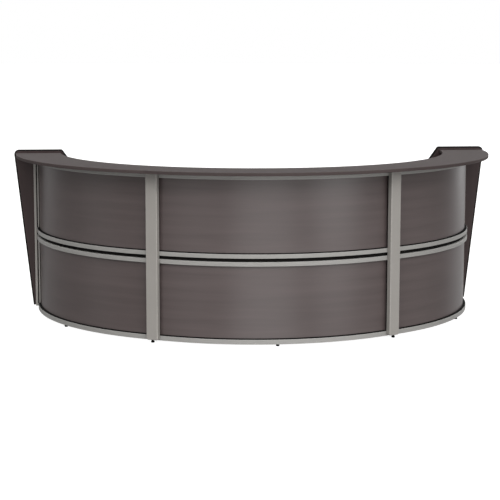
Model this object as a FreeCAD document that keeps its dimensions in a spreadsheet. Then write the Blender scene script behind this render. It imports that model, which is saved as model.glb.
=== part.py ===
import FreeCAD, Part
import math
import os

import Sketcher

# Curved three-bay checkout and reception station, seen in plan as half a ring.
#
# Frame: millimetres, +Z up, floor at Z = 0.  The customers stand on the -Y side and the
# operator sits on the +Y side.  The origin is below the middle of the bounding box.
#
# The ring centre lies on the Y axis behind the desk.  Each bay turns the ring by 60 degrees.
# The rails and the curved panels of a bay are arcs about the bay's own arc centre, which is
# moved outwards from the ring centre by "arc_offset".  That leaves a short straight stretch
# between two bays, and the vertical post covers it.

DIMENSIONS = {
    # plan
    "ring_centre_y": 914.5,
    "bay_half_angle": 30.0,
    "arc_offset": 133.0,
    "rail_radius": 1516.0,
    "gable_face": 62.0,
    "gable_thick": 28.0,
    # counter and work surfaces
    "counter_outer": 1662.0,
    "counter_inner": 1449.0,
    "counter_top_z": 1180.0,
    "counter_thick": 22.0,
    "work_outer": 1476.0,
    "work_inner": 1025.0,
    "work_top_z": 749.0,
    "work_thick": 25.0,
    "board_edge": 2.5,
    "pilot_depth": 15.0,
    # curved rails
    "rail_depth": 38.0,
    "rail_wall": 2.5,
    "rail_lip": 3.0,
    "channel_depth": 8.0,
    "rail_edge": 2.5,
    "bottom_rail_z": 12.5,
    "bottom_rail_height": 32.5,
    "lower_mid_z": 541.0,
    "upper_mid_z": 594.0,
    "mid_rail_height": 29.0,
    "top_rail_z": 1120.0,
    # curved panels
    "skin_setback": 21.0,
    "skin_thick": 6.0,
    "skin_entry": 7.0,
    "seal_rise": 5.5,
    "seal_tip": 4.0,
    "seal_width": 4.0,
    "seal_thick": 5.0,
    "reveal_setback": 18.0,
    "reveal_thick": 6.0,
    # posts
    "post_front": 1668.0,
    "cover_width": 85.6,
    "cover_depth": 34.0,
    "cover_wall": 2.0,
    "cover_corner": 12.0,
    "cover_edge": 5.0,
    "column_width": 52.0,
    "column_depth": 40.0,
    "column_wall": 3.0,
    "column_edge": 2.0,
    "plate_inset": 1.0,
    "post_z": 17.5,
    "foot_plate": 6.0,
    "end_post_front": 1649.5,
    "end_post_width": 43.0,
    "end_post_depth": 48.0,
    "end_post_z": 25.0,
    "end_post_cover": 16.5,
    "end_post_groove": 9.0,
    "end_post_groove_depth": 8.0,
    "end_post_edge": 1.5,
    "end_post_hole": 16.0,
    # end gables
    "gable_z": 26.0,
    "gable_top_z": 1204.0,
    "gable_foot_outer": 1668.0,
    "gable_rake": 0.108,
    "gable_slope_top": 1436.0,
    "gable_slope": 0.714,
    "gable_desk_z": 773.0,
    "gable_inner": 1000.0,
    "trim_width": 10.0,
    "trim_edge": 4.0,
    # support panels
    "support_inner": 1060.0,
    "support_thick": 28.0,
    "support_edge": 2.0,
    # brackets
    "bracket_width": 50.0,
    "bracket_plate": 6.0,
    "bracket_arm": 132.0,
    "bracket_leg": 150.0,
    "gusset_thick": 5.0,
    "gusset_inset": 12.0,
    # levelling feet
    "foot_radius": 12.0,
    "foot_setback": 1.0,
    "foot_bevel": 1.0,
    "foot_rim": 10.0,
    "foot_neck_radius": 9.5,
    "foot_shoulder": 11.2,
    "moving_gap": 0.3,
    "stud_radius": 4.0,
    "stud_clearance": 0.3,
    "stud_reach": 34.0,
    "rail_stud_reach": 20.0,
    "stud_room": 8.0,
    # cable grommets
    "grommet_radius": 1540.0,
    "liner_outer": 37.8,
    "liner_bore": 34.0,
    "liner_flange": 45.0,
    "liner_flange_thick": 3.0,
    "liner_bevel_wide": 2.0,
    "liner_bevel_high": 1.5,
    "liner_below": 2.0,
    "cap_radius": 44.0,
    "cap_thick": 3.0,
    "cap_rim_thick": 1.2,
    "cap_bevel": 3.0,
    "cap_skirt": 33.4,
    "cap_skirt_wall": 2.4,
    "cap_skirt_depth": 12.0,
    "cap_notch": 16.0,
    "cap_notch_depth": 11.0,
    # screws
    "screw_head": 5.0,
    "screw_head_height": 2.4,
    "screw_shank": 2.4,
    "screw_slot_width": 1.0,
    "screw_slot_depth": 1.0,
    "end_post_screw": 14.0,
    "bracket_screw": 20.0,
    "pilot_clearance": 0.05,
    "bracket_clearance": 0.1,
}

# Two positions closer than this are the same place.
TOUCH = 0.01

# The same for the corners of a gable, whose fillets move the edges a little.
CORNER_TOUCH = 0.05

# The edges across a gable's thickness, and the straight runs of a board's outer edge, are
# shorter than these.
LONGEST_CORNER = 60.0
LONGEST_RUN = 100.0

# A cut takes away at least this volume, and a revolved body reaches at least this far from
# the plane in which it starts.
LEAST_CUT = 1.0
LEAST_REACH = 1.0

# Heights of the screws in an end post.
SCREW_HEIGHTS = (245.0, 430.0, 735.0, 920.0)

# Bracket screws, measured from the back of the post: outwards along the radius, and across it.
BRACKET_SCREWS = ((-45.0, 16.0), (-45.0, -16.0), (-105.0, 16.0), (-105.0, -16.0))

# Distances of the feet under a gable and under a support panel from the ring centre.
GABLE_FEET = (1555.0, 1045.0)
SUPPORT_FOOT = 1105.0

# Corner radii of a gable's outline, from the outer foot upwards and round; None is left sharp.
CONCAVE_RADIUS = 80.0
CORNER_RADII = (None, 35.0, 16.0, CONCAVE_RADIUS, 40.0, 16.0)

DOC = FreeCAD.newDocument("curved_checkout_station")
SHEET = DOC.addObject("Spreadsheet::Sheet", "Dimensions")
NODES = []

BAYS = {"left": -60.0, "centre": 0.0, "right": 60.0}
JOINTS = {"left": -30.0, "right": 30.0}
SIDES = {"left": -1.0, "right": 1.0}


def fill_sheet():
    """One row per driving dimension: its name, its value and an alias of the same name."""
    for row, (alias, number) in enumerate(DIMENSIONS.items(), start=1):
        SHEET.set("A%d" % row, alias.replace("_", " "))
        SHEET.set("B%d" % row, str(number))
        SHEET.setAlias("B%d" % row, alias)
    DOC.recompute()


def cell(alias):
    """The expression that reads one cell."""
    return "Dimensions." + alias


def value(expression):
    """The number that an expression over the sheet gives."""
    result = SHEET.evalExpression(str(expression))
    return float(getattr(result, "Value", result))


def origin_plane(body, role):
    for feature in body.Origin.OriginFeatures:
        if feature.Role == role:
            return feature
    raise RuntimeError("no origin plane " + role)


def new_body(label):
    body = DOC.addObject("PartDesign::Body", label)
    body.Label = label
    return body


def new_sketch(body, name, role):
    sketch = body.newObject("Sketcher::SketchObject", name)
    sketch.AttachmentSupport = [(origin_plane(body, role), "")]
    sketch.MapMode = "FlatFace"
    return sketch


def bind(sketch, kind, expression, *where):
    """Add one dimension constraint and tie it to an expression over the sheet."""
    index = sketch.addConstraint(Sketcher.Constraint(kind, *where, value(expression)))
    sketch.setExpression("Constraints[%d]" % index, str(expression))


def pin_point(sketch, geometry, end, x_expression, y_expression):
    """Hold one end of an edge at (x, y), measured from the sketch's origin."""
    bind(sketch, "DistanceX", x_expression, -1, 1, geometry, end)
    bind(sketch, "DistanceY", y_expression, -1, 1, geometry, end)


def polygon(sketch, vertices):
    """A closed outline of straight edges; each vertex is a pair of expressions."""
    points = [FreeCAD.Vector(value(x), value(y), 0) for x, y in vertices]
    count = len(points)
    first = sketch.GeometryCount
    for index in range(count):
        sketch.addGeometry(Part.LineSegment(points[index], points[(index + 1) % count]), False)
    for index in range(count):
        here = first + index
        after = first + (index + 1) % count
        sketch.addConstraint(Sketcher.Constraint("Coincident", here, 2, after, 1))
    for index, (x_expression, y_expression) in enumerate(vertices):
        pin_point(sketch, first + index, 1, x_expression, y_expression)


def rectangle(sketch, x_low, x_high, y_low, y_high):
    polygon(sketch, [(x_low, y_low), (x_high, y_low), (x_high, y_high), (x_low, y_high)])


def circle(sketch, x_expression, y_expression, radius_expression):
    centre = FreeCAD.Vector(value(x_expression), value(y_expression), 0)
    axis = FreeCAD.Vector(0, 0, 1)
    index = sketch.addGeometry(Part.Circle(centre, axis, value(radius_expression)), False)
    pin_point(sketch, index, 3, x_expression, y_expression)
    bind(sketch, "Radius", radius_expression, index)


def pad(body, sketch, length_expression, midplane=False):
    feature = body.newObject("PartDesign::Pad", "Pad")
    feature.Profile = sketch
    feature.Midplane = midplane
    feature.Length = value(length_expression)
    feature.setExpression("Length", str(length_expression))
    sketch.Visibility = False
    DOC.recompute()
    return feature


def pocket_through(body, sketch):
    """Cut a sketch right through the body and make sure that it removed something."""
    before = body.Shape.Volume
    feature = body.newObject("PartDesign::Pocket", "Pocket")
    feature.Profile = sketch
    feature.Type = "ThroughAll"
    feature.Midplane = True
    DOC.recompute()
    require_less(body, before)


def pocket_depth(body, sketch, length_expression, reverse):
    """Cut a sketch to a depth and make sure that it removed something."""
    before = body.Shape.Volume
    feature = body.newObject("PartDesign::Pocket", "Pocket")
    feature.Profile = sketch
    feature.Reversed = reverse
    feature.Length = value(length_expression)
    feature.setExpression("Length", str(length_expression))
    DOC.recompute()
    require_less(body, before)


def require_less(body, before):
    if body.Shape.Volume > before - LEAST_CUT:
        raise RuntimeError(body.Label + ": a cut removed nothing")


def fillet(body, base, radius_expression, picked):
    """Round the edges of the last feature that the test accepts."""
    names = ["Edge%d" % (n + 1) for n, edge in enumerate(base.Shape.Edges) if picked(edge)]
    if not names:
        raise RuntimeError(body.Label + ": no edge to round")
    feature = body.newObject("PartDesign::Fillet", "Fillet")
    feature.Base = (base, names)
    feature.Radius = value(radius_expression)
    feature.setExpression("Radius", str(radius_expression))
    DOC.recompute()
    return feature


def place(item, x_expression, y_expression, turn):
    """Give a sub-part its place in plan and its turn about the vertical."""
    item.Placement = FreeCAD.Placement(
        FreeCAD.Vector(value(x_expression), value(y_expression), 0),
        FreeCAD.Rotation(FreeCAD.Vector(0, 0, 1), turn))
    item.setExpression("Placement.Base.x", str(x_expression))
    item.setExpression("Placement.Base.y", str(y_expression))


def lift_sketch(sketch, height):
    """Move a sketch along the normal of its plane."""
    sketch.AttachmentOffset = FreeCAD.Placement(
        FreeCAD.Vector(0, 0, value(height)), FreeCAD.Rotation())
    sketch.setExpression("AttachmentOffset.Base.z", height)


def place_on_ring(item, angle):
    """Local +X points outwards along the ring's radius at this angle (0 is straight ahead)."""
    place(item, "0", cell("ring_centre_y"), angle - 90.0)


def keep(item):
    NODES.append(item)


# ---------------------------------------------------------------- curved rails and panels

def arc_limits(bay):
    """How far a bay's arcs reach to its left and to its right, in degrees from its middle.

    Beside a post an arc runs on behind the cover to the column's side; beside a gable it stops
    at the end post.
    """
    half = cell("bay_half_angle")
    aside = "%s * sin(%s)" % (cell("arc_offset"), half)
    to_post = "(%s * 1 deg + asin((%s - %s / 2) / %s))" % (
        half, aside, cell("column_width"), cell("rail_radius"))
    to_end = "(%s * 1 deg - asin((%s + %s - %s) / (%s - %s)))" % (
        half, cell("gable_face"), cell("end_post_width"), aside,
        cell("rail_radius"), cell("rail_depth"))
    return (to_end if bay == "left" else to_post,
            to_end if bay == "right" else to_post)


def place_on_arc(item, bay, start):
    """Put a body that was revolved about its own Z axis on a bay's arc centre.

    It starts at this angle from the bay's middle.
    """
    angle = BAYS[bay]
    place(item,
          "%s * sin(%g)" % (cell("arc_offset"), angle),
          "%s - %s * cos(%g)" % (cell("ring_centre_y"), cell("arc_offset"), angle),
          angle + start - 90.0)


def whole_arc(bay):
    """Where a bay's arcs start, as a number, and how far they turn, as an expression."""
    return -value(arc_limits(bay)[0]), "%s + %s" % arc_limits(bay)


def revolve(body, sketch, angle_expression):
    feature = body.newObject("PartDesign::Revolution", "Revolution")
    feature.Profile = sketch
    feature.ReferenceAxis = (sketch, ["V_Axis"])
    feature.Angle = value(angle_expression)
    feature.setExpression("Angle", angle_expression)
    DOC.recompute()
    if feature.Shape.BoundBox.YMax < LEAST_REACH:
        feature.Reversed = True
        DOC.recompute()
    return feature


def rail_section(sketch, low, height, opens_up):
    """A hollow rail with a channel along its top or its bottom, which holds a panel's edge."""
    front = cell("rail_radius")
    back = "%s - %s" % (front, cell("rail_depth"))
    lip = "%s - %s" % (front, cell("rail_lip"))
    wall = "%s - %s - %s" % (front, cell("skin_setback"), cell("skin_thick"))
    high = "%s + %s" % (low, height)
    if opens_up:
        mouth, floor, closed = high, "%s - %s" % (high, cell("channel_depth")), low
        void_low = "%s + %s" % (low, cell("rail_wall"))
        void_high = "%s - %s" % (floor, cell("rail_wall"))
    else:
        mouth, floor, closed = low, "%s + %s" % (low, cell("channel_depth")), high
        void_low = "%s + %s" % (floor, cell("rail_wall"))
        void_high = "%s - %s" % (high, cell("rail_wall"))
    polygon(sketch, [(back, closed), (front, closed), (front, mouth), (lip, mouth),
                     (lip, floor), (wall, floor), (wall, mouth), (back, mouth)])
    rectangle(sketch, "%s + %s" % (back, cell("rail_wall")), "%s - %s" % (front, cell("rail_wall")),
              void_low, void_high)


def is_arc_edge(edge, radius):
    """True for an arc of this radius."""
    curve = edge.Curve
    return isinstance(curve, Part.Circle) and abs(curve.Radius - radius) < TOUCH


def curved_rail(bay, label, low, height, opens_up):
    body = new_body(label)
    sketch = new_sketch(body, "Section", "XZ_Plane")
    rail_section(sketch, low, height, opens_up)
    start, turn = whole_arc(bay)
    revolved = revolve(body, sketch, turn)
    front = value(cell("rail_radius"))
    fillet(body, revolved, cell("rail_edge"), lambda edge: is_arc_edge(edge, front))
    place_on_arc(body, bay, start)
    keep(body)
    return body


def drill_rail(body, bay):
    """Let the stud of the levelling foot in through the underside, at the bay's middle."""
    radius = "(%s - %s - %s)" % (cell("rail_radius"), cell("foot_radius"), cell("foot_setback"))
    middle = arc_limits(bay)[0]
    sketch = new_sketch(body, "StudHole", "XY_Plane")
    circle(sketch, "%s * cos(%s)" % (radius, middle), "%s * sin(%s)" % (radius, middle),
           "%s + %s" % (cell("stud_radius"), cell("stud_clearance")))
    pocket_depth(body, sketch, "%s + 2 * %s" % (cell("bottom_rail_z"), cell("rail_wall")), True)


def curved_strip(bay, label, setback, thick, low, high):
    """A plain bent sheet: its front is set back from the front of the rails."""
    body = new_body(label)
    sketch = new_sketch(body, "Section", "XZ_Plane")
    front = "%s - %s" % (cell("rail_radius"), setback)
    rectangle(sketch, "%s - %s" % (front, thick), front, low, high)
    start, turn = whole_arc(bay)
    revolve(body, sketch, turn)
    place_on_arc(body, bay, start)
    keep(body)


def foot_seal(bay, label, mouth):
    """The black wedge that fills a rail's channel and laps up the foot of a bent panel."""
    body = new_body(label)
    sketch = new_sketch(body, "Section", "XZ_Plane")
    skin = "%s - %s" % (cell("rail_radius"), cell("skin_setback"))
    lip = "%s - %s" % (cell("rail_radius"), cell("rail_lip"))
    floor = "%s - %s" % (mouth, cell("channel_depth"))
    crown = "%s + %s" % (mouth, cell("seal_rise"))
    polygon(sketch, [(skin, floor), (lip, floor), (lip, mouth),
                     ("%s + %s" % (skin, cell("seal_tip")), crown), (skin, crown)])
    start, turn = whole_arc(bay)
    revolve(body, sketch, turn)
    place_on_arc(body, bay, start)
    return body


def side_seals(bay, label, low, high):
    """The black strips down both ends of a bent panel, where it meets the posts."""
    skin = "%s - %s" % (cell("rail_radius"), cell("skin_setback"))
    turn = "%s / (%s) * 180 / pi" % (cell("seal_width"), skin)
    before, after = arc_limits(bay)
    bodies = []
    for name, start in (("_first", -value(before)), ("_last", value(after) - value(turn))):
        body = new_body(label + name)
        sketch = new_sketch(body, "Section", "XZ_Plane")
        rectangle(sketch, skin, "%s + %s" % (skin, cell("seal_thick")), low, high)
        revolve(body, sketch, turn)
        place_on_arc(body, bay, start)
        bodies.append(body)
    return bodies


def make_seals():
    """The seals of all six bent panels, as one node of separate solids."""
    bodies = []
    for bay in BAYS:
        rail_tops = {
            "lower": "%s + %s" % (cell("bottom_rail_z"), cell("bottom_rail_height")),
            "upper": "%s + %s" % (cell("upper_mid_z"), cell("mid_rail_height")),
        }
        ceilings = {"lower": cell("lower_mid_z"), "upper": cell("top_rail_z")}
        for level, mouth in rail_tops.items():
            label = "seal_%s_%s" % (level, bay)
            bodies.append(foot_seal(bay, label, mouth))
            crown = "%s + %s" % (mouth, cell("seal_rise"))
            bodies += side_seals(bay, label, crown, ceilings[level])
    group = DOC.addObject("Part::Compound", "skin_seals")
    group.Label = "skin_seals"
    group.Links = bodies
    keep(group)


def make_bay_front(bay):
    """The silver rails of one bay, its two curved panels and the dark strip between them."""
    height = cell("mid_rail_height")
    rail = curved_rail(bay, "bottom_rail_" + bay, cell("bottom_rail_z"),
                       cell("bottom_rail_height"), True)
    drill_rail(rail, bay)
    curved_rail(bay, "lower_mid_rail_" + bay, cell("lower_mid_z"), height, False)
    curved_rail(bay, "upper_mid_rail_" + bay, cell("upper_mid_z"), height, True)
    top_height = "%s - %s - %s" % (cell("counter_top_z"), cell("counter_thick"),
                                   cell("top_rail_z"))
    curved_rail(bay, "top_rail_" + bay, cell("top_rail_z"), top_height, False)

    entry = cell("skin_entry")
    bottom_top = "%s + %s" % (cell("bottom_rail_z"), cell("bottom_rail_height"))
    curved_strip(bay, "lower_skin_" + bay, cell("skin_setback"), cell("skin_thick"),
                 "%s - %s" % (bottom_top, entry), "%s + %s" % (cell("lower_mid_z"), entry))
    upper_top = "%s + %s" % (cell("upper_mid_z"), height)
    curved_strip(bay, "upper_skin_" + bay, cell("skin_setback"), cell("skin_thick"),
                 "%s - %s" % (upper_top, entry), "%s + %s" % (cell("top_rail_z"), entry))
    curved_strip(bay, "reveal_strip_" + bay, cell("reveal_setback"), cell("reveal_thick"),
                 "%s + %s" % (cell("lower_mid_z"), height), cell("upper_mid_z"))


# ---------------------------------------------------------------- counters and work surfaces

def board_outline(sketch, outer, inner, cuts):
    """Plan of one bay's board, about the ring centre, with -Y through the bay's middle.

    The outer edge is an arc about the bay's arc centre, carried on straight to the joint.
    The inner edge is an arc about the ring centre.  Each end is parallel to the joint's
    radius and stops short of it by its cut.
    """
    offset = cell("arc_offset")
    half = value(cell("bay_half_angle"))
    sine, cosine = "sin(%g)" % half, "cos(%g)" % half
    reach = "(%s + %s * %s)" % (outer, offset, cosine)
    arc_y = "-(%s + %s * %s)" % (offset, outer, cosine)

    corners = {}
    for sign, cut in cuts.items():
        inward = "sqrt(%s^2 - %s^2)" % (inner, cut)
        corners[sign] = {
            "arc": ("%g * %s * %s" % (sign, outer, sine), arc_y),
            "outer": ("%g * (%s * %s - %s * %s)" % (sign, reach, sine, cut, cosine),
                      "-(%s * %s + %s * %s)" % (reach, cosine, cut, sine)),
            "inner": ("%g * (%s * %s - %s * %s)" % (sign, inward, sine, cut, cosine),
                      "-(%s * %s + %s * %s)" % (inward, cosine, cut, sine)),
        }

    def vector(pair):
        return FreeCAD.Vector(value(pair[0]), value(pair[1]), 0)

    left, right = corners[-1], corners[1]
    outer_mid = FreeCAD.Vector(0, -value(offset) - value(outer), 0)
    inner_mid = FreeCAD.Vector(0, -value(inner), 0)
    outer_arc = sketch.addGeometry(
        Part.Arc(vector(left["arc"]), outer_mid, vector(right["arc"])), False)
    inner_arc = sketch.addGeometry(
        Part.Arc(vector(left["inner"]), inner_mid, vector(right["inner"])), False)
    runs = {}
    for sign, corner in corners.items():
        runs[sign] = (
            sketch.addGeometry(Part.LineSegment(vector(corner["arc"]), vector(corner["outer"]))),
            sketch.addGeometry(Part.LineSegment(vector(corner["outer"]), vector(corner["inner"]))))

    bind(sketch, "Radius", outer, outer_arc)
    pin_point(sketch, outer_arc, 3, "0", "-" + offset)
    bind(sketch, "Radius", inner, inner_arc)
    sketch.addConstraint(Sketcher.Constraint("Coincident", inner_arc, 3, -1, 1))
    for sign, end in ((-1, 1), (1, 2)):
        straight, joint = runs[sign]
        bind(sketch, "DistanceX", corners[sign]["arc"][0], -1, 1, outer_arc, end)
        bind(sketch, "DistanceX", corners[sign]["inner"][0], -1, 1, inner_arc, end)
        sketch.addConstraint(Sketcher.Constraint("Coincident", outer_arc, end, straight, 1))
        sketch.addConstraint(Sketcher.Constraint("Coincident", straight, 2, joint, 1))
        sketch.addConstraint(Sketcher.Constraint("Coincident", inner_arc, end, joint, 2))
        pin_point(sketch, straight, 2, *corners[sign]["outer"])


def gable_cuts(bay):
    """How far each end of a board stops short of the joint's radius."""
    return {-1: cell("gable_face") if bay == "left" else "0",
            1: cell("gable_face") if bay == "right" else "0"}


def board(bay, label, outer, inner, low, thick):
    body = new_body(label)
    sketch = new_sketch(body, "Outline", "XY_Plane")
    board_outline(sketch, outer, inner, gable_cuts(bay))
    lift_sketch(sketch, low)
    base = pad(body, sketch, thick)
    radii = (value(outer), value(inner))
    fillet(body, base, cell("board_edge"),
           lambda edge: any(is_arc_edge(edge, radius) for radius in radii)
           or is_straight_front(edge, radii[0]))
    return body


def is_straight_front(edge, outer):
    """True for the short straight run that carries a board's outer edge on to the joint."""
    if not isinstance(edge.Curve, Part.Line):
        return False
    middle = edge.CenterOfMass
    level = abs(edge.Vertexes[0].Z - edge.Vertexes[-1].Z) < TOUCH
    return level and math.hypot(middle.x, middle.y) > outer and edge.Length < LONGEST_RUN


def make_counter(bay):
    low = "%s - %s" % (cell("counter_top_z"), cell("counter_thick"))
    body = board(bay, "counter_" + bay, cell("counter_outer"), cell("counter_inner"),
                 low, cell("counter_thick"))
    drill_counter(body, bay)
    place(body, "0", cell("ring_centre_y"), BAYS[bay])
    keep(body)


def drill_counter(body, bay):
    """Blind pilot holes in the underside for the bracket screws at each joint."""
    sketch = new_sketch(body, "PilotHoles", "XY_Plane")
    low = "%s - %s" % (cell("counter_top_z"), cell("counter_thick"))
    lift_sketch(sketch, low)
    for sign, end_bay in ((-1, "left"), (1, "right")):
        if bay == end_bay:
            continue
        for run, across in BRACKET_SCREWS:
            if sign * across > 0:
                continue
            reach = "(%s + (%g))" % (bracket_back(), run)
            turn = sign * value(cell("bay_half_angle"))
            circle(sketch, "%s * sin(%g) + (%g) * cos(%g)" % (reach, turn, across, turn),
                   "-%s * cos(%g) + (%g) * sin(%g)" % (reach, turn, across, turn),
                   "%s + %s" % (cell("screw_shank"), cell("pilot_clearance")))
    pocket_depth(body, sketch, cell("pilot_depth"), True)


def bracket_back():
    """Distance of the back of the posts, where the brackets stand, from the ring centre."""
    return "(%s - %s - %s)" % (cell("post_front"), cell("cover_depth"), cell("column_depth"))


def make_work_surface(bay):
    low = "%s - %s" % (cell("work_top_z"), cell("work_thick"))
    body = board(bay, "work_surface_" + bay, cell("work_outer"), cell("work_inner"),
                 low, cell("work_thick"))
    hole = new_sketch(body, "GrommetHole", "XY_Plane")
    circle(hole, "0", "-" + cell("grommet_radius"), cell("liner_outer"))
    pocket_through(body, hole)
    place(body, "0", cell("ring_centre_y"), BAYS[bay])
    keep(body)


# ---------------------------------------------------------------- cable grommets

def place_grommet(item, bay):
    angle = BAYS[bay]
    place(item,
          "%s * sin(%g)" % (cell("grommet_radius"), angle),
          "%s - %s * cos(%g)" % (cell("ring_centre_y"), cell("grommet_radius"), angle),
          angle)


def make_grommet_liner(bay):
    """A flanged sleeve, let into the work surface."""
    body = new_body("grommet_liner_" + bay)
    sketch = new_sketch(body, "Section", "XZ_Plane")
    top = cell("work_top_z")
    bottom = "%s - %s - %s" % (top, cell("work_thick"), cell("liner_below"))
    crown = "%s + %s" % (top, cell("liner_flange_thick"))
    flange = cell("liner_flange")
    polygon(sketch, [(cell("liner_bore"), bottom), (cell("liner_outer"), bottom),
                     (cell("liner_outer"), top), (flange, top),
                     (flange, "%s - %s" % (crown, cell("liner_bevel_high"))),
                     ("%s - %s" % (flange, cell("liner_bevel_wide")), crown),
                     (cell("liner_bore"), crown)])
    revolve(body, sketch, "360")
    place_grommet(body, bay)
    keep(body)


def make_grommet_cap(bay):
    """A lift-out cap with a notch in its rim that lets the cables through."""
    body = new_body("grommet_cap_" + bay)
    sketch = new_sketch(body, "Section", "XZ_Plane")
    seat = "%s + %s + %s" % (cell("work_top_z"), cell("liner_flange_thick"), cell("moving_gap"))
    crown = "%s + %s" % (seat, cell("cap_thick"))
    skirt_low = "%s - %s" % (seat, cell("cap_skirt_depth"))
    skirt_inner = "%s - %s" % (cell("cap_skirt"), cell("cap_skirt_wall"))
    polygon(sketch, [("0", seat), (skirt_inner, seat), (skirt_inner, skirt_low),
                     (cell("cap_skirt"), skirt_low), (cell("cap_skirt"), seat),
                     (cell("cap_radius"), seat),
                     (cell("cap_radius"), "%s + %s" % (seat, cell("cap_rim_thick"))),
                     ("%s - %s" % (cell("cap_radius"), cell("cap_bevel")), crown),
                     ("0", crown)])
    revolve(body, sketch, "360")
    notch = new_sketch(body, "Notch", "XY_Plane")
    half = "%s / 2" % cell("cap_notch")
    rectangle(notch, "-" + half, half,
              "%s - %s" % (cell("cap_skirt"), cell("cap_notch_depth")),
              "%s + %s" % (cell("cap_radius"), cell("cap_bevel")))
    pocket_through(body, notch)
    place_grommet(body, bay)
    keep(body)


# ---------------------------------------------------------------- posts

def make_column(side):
    """The square tube behind a post's cover, closed below by a plate."""
    body = new_body("post_column_" + side)
    front = "%s - %s" % (cell("post_front"), cell("cover_depth"))
    back = "%s - %s" % (front, cell("column_depth"))
    half = "%s / 2" % cell("column_width")
    wall = cell("column_wall")
    tube = new_sketch(body, "Tube", "XY_Plane")
    rectangle(tube, back, front, "-" + half, half)
    rectangle(tube, "%s + %s" % (back, wall), "%s - %s" % (front, wall),
              "-(%s - %s)" % (half, wall), "%s - %s" % (half, wall))
    lift_sketch(tube, cell("post_z"))
    base = pad(body, tube, "%s - %s - %s" % (cell("counter_top_z"), cell("counter_thick"),
                                             cell("post_z")))
    fillet(body, base, cell("column_edge"), is_upright_corner_of(base))
    plate = new_sketch(body, "FootPlate", "XY_Plane")
    inset = cell("plate_inset")
    rectangle(plate, "%s + %s" % (back, inset), "%s - %s" % (front, inset),
              "-(%s - %s)" % (half, inset), "%s - %s" % (half, inset))
    lift_sketch(plate, cell("post_z"))
    pad(body, plate, cell("foot_plate"))
    place_on_ring(body, JOINTS[side])
    keep(body)


def is_upright_corner_of(feature):
    """A test for the four upright edges at the outside of a block."""
    box = feature.Shape.BoundBox

    def test(edge):
        if not isinstance(edge.Curve, Part.Line):
            return False
        first, last = edge.Vertexes[0].Point, edge.Vertexes[-1].Point
        upright = abs(first.x - last.x) < TOUCH and abs(first.y - last.y) < TOUCH
        on_x = min(abs(first.x - box.XMin), abs(first.x - box.XMax)) < TOUCH
        on_y = min(abs(first.y - box.YMin), abs(first.y - box.YMax)) < TOUCH
        return upright and on_x and on_y
    return test


def make_cover(side):
    """The wide flat face of a post: a hollow channel, plugged below, where its foot screws in."""
    body = new_body("post_cover_" + side)
    front = cell("post_front")
    back = "%s - %s" % (front, cell("cover_depth"))
    half = "%s / 2" % cell("cover_width")
    top = "%s - %s" % (cell("counter_top_z"), cell("counter_thick"))
    block = new_sketch(body, "Block", "XY_Plane")
    rectangle(block, back, front, "-" + half, half)
    lift_sketch(block, cell("post_z"))
    base = pad(body, block, "%s - %s" % (top, cell("post_z")))
    low = value(cell("post_z"))
    rounded = fillet(body, base, cell("cover_corner"), lambda edge: is_foot_corner(edge, low))
    face = value(front)
    fillet(body, rounded, cell("cover_edge"), lambda edge: is_upright_at(edge, face))
    hollow = new_sketch(body, "Hollow", "XY_Plane")
    wall = cell("cover_wall")
    rectangle(hollow, "%s - %s" % (back, wall), "%s - %s" % (front, wall),
              "-(%s - %s)" % (half, wall), "%s - %s" % (half, wall))
    lift_sketch(hollow, "%s + %s" % (cell("post_z"), cell("cover_corner")))
    pocket_depth(body, hollow, "%s - %s" % (top, cell("post_z")), True)
    hole = new_sketch(body, "StudHole", "XY_Plane")
    circle(hole, "%s - %s - %s" % (front, cell("foot_radius"), cell("foot_setback")), "0",
           "%s + %s" % (cell("stud_radius"), cell("stud_clearance")))
    pocket_depth(body, hole, "%s + %s" % (cell("post_z"), cell("cover_corner")), True)
    place_on_ring(body, JOINTS[side])
    keep(body)


def is_foot_corner(edge, low):
    """The two edges at the bottom that run from front to back."""
    first, last = edge.Vertexes[0].Point, edge.Vertexes[-1].Point
    return (abs(first.z - low) < TOUCH and abs(last.z - low) < TOUCH
            and abs(first.y - last.y) < TOUCH)


def is_upright_at(edge, x):
    """An upright edge whose distance from the ring centre is x."""
    if not isinstance(edge.Curve, Part.Line):
        return False
    first, last = edge.Vertexes[0].Point, edge.Vertexes[-1].Point
    return abs(first.x - x) < TOUCH and abs(last.x - x) < TOUCH and abs(first.y - last.y) < TOUCH


def make_end_post(side):
    """The narrow post beside an end gable, with a shadow groove down its side."""
    sign = SIDES[side]
    body = new_body("end_post_" + side)
    front = cell("end_post_front")
    back = "%s - %s" % (front, cell("end_post_depth"))
    near = cell("gable_face")
    far = "%s + %s" % (near, cell("end_post_width"))
    groove_front = "%s - %s" % (front, cell("end_post_cover"))
    groove_back = "%s - %s" % (groove_front, cell("end_post_groove"))
    inside = "%s - %s" % (far, cell("end_post_groove_depth"))
    # Local +X is outwards; the bay lies towards -Y on the right and towards +Y on the left.
    section = new_sketch(body, "Section", "XY_Plane")
    toward = "%g * (" % -sign
    outline = [(back, near), (front, near), (front, far), (groove_front, far),
               (groove_front, inside), (groove_back, inside), (groove_back, far), (back, far)]
    polygon(section, [(x, toward + y + ")") for x, y in outline])
    lift_sketch(section, cell("end_post_z"))
    base = pad(body, section, "%s - %s - %s" % (cell("counter_top_z"), cell("counter_thick"),
                                                cell("end_post_z")))
    face = value(front)
    fillet(body, base, cell("end_post_edge"), lambda edge: is_upright_at(edge, face))
    holes = new_sketch(body, "ScrewHoles", "YZ_Plane")
    middle = "%g * (%s + %s) / 2" % (-sign, near, far)
    for height in SCREW_HEIGHTS:
        circle(holes, middle, "%g" % height,
               "%s + %s" % (cell("screw_shank"), cell("pilot_clearance")))
    lift_sketch(holes, front)
    pocket_depth(body, holes, cell("end_post_hole"), False)
    place_on_ring(body, 90.0 * sign)
    keep(body)


# ---------------------------------------------------------------- end gables and their trim

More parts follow.
